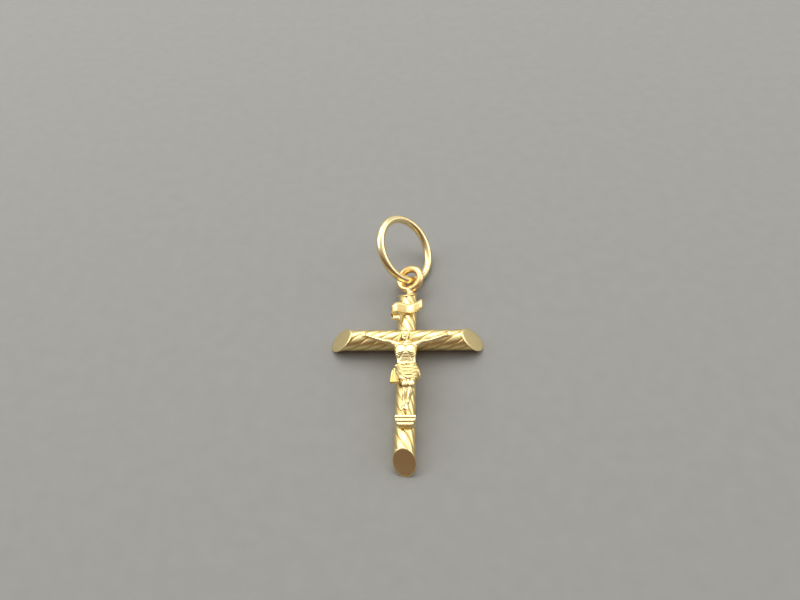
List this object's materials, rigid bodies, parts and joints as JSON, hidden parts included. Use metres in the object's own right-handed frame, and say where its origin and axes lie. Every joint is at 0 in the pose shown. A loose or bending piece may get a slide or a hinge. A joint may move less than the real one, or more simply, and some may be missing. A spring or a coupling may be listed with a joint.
{
  "type": "crucifix pendant",
  "caption": "Small crucifix pendant of twisted hollow tubes with slanting polished ends, a cast figure, a bare scroll and footrest, and a jump ring in a round eye.",
  "frame": {"origin": "under the middle of the whole pendant, on the surface it lies on", "axes": "+X to the crossbar's right arm as seen from the front, +Y along the upright to the jump ring, +Z out of the front"},
  "size_m": [0.02, 0.0362, 0.0078],
  "materials": {
    "twisted_tube": "bright",
    "polished_face": "polished",
    "cast_figure": "bright, darker in its hollows",
    "stamped_gold": "bright",
    "rosy_gold": "satin",
    "ring_gold": "polished"
  },
  "bodies": {
    "root": {"cross": "twisted_tube", "left_end_plate": "polished_face", "right_end_plate": "polished_face", "top_end_plate": "polished_face", "bottom_end_plate": "polished_face", "corpus": "cast_figure", "title_scroll": "stamped_gold", "footrest": "stamped_gold", "top_eye": "rosy_gold", "jump_ring": "ring_gold"}
  },
  "joints": []
}
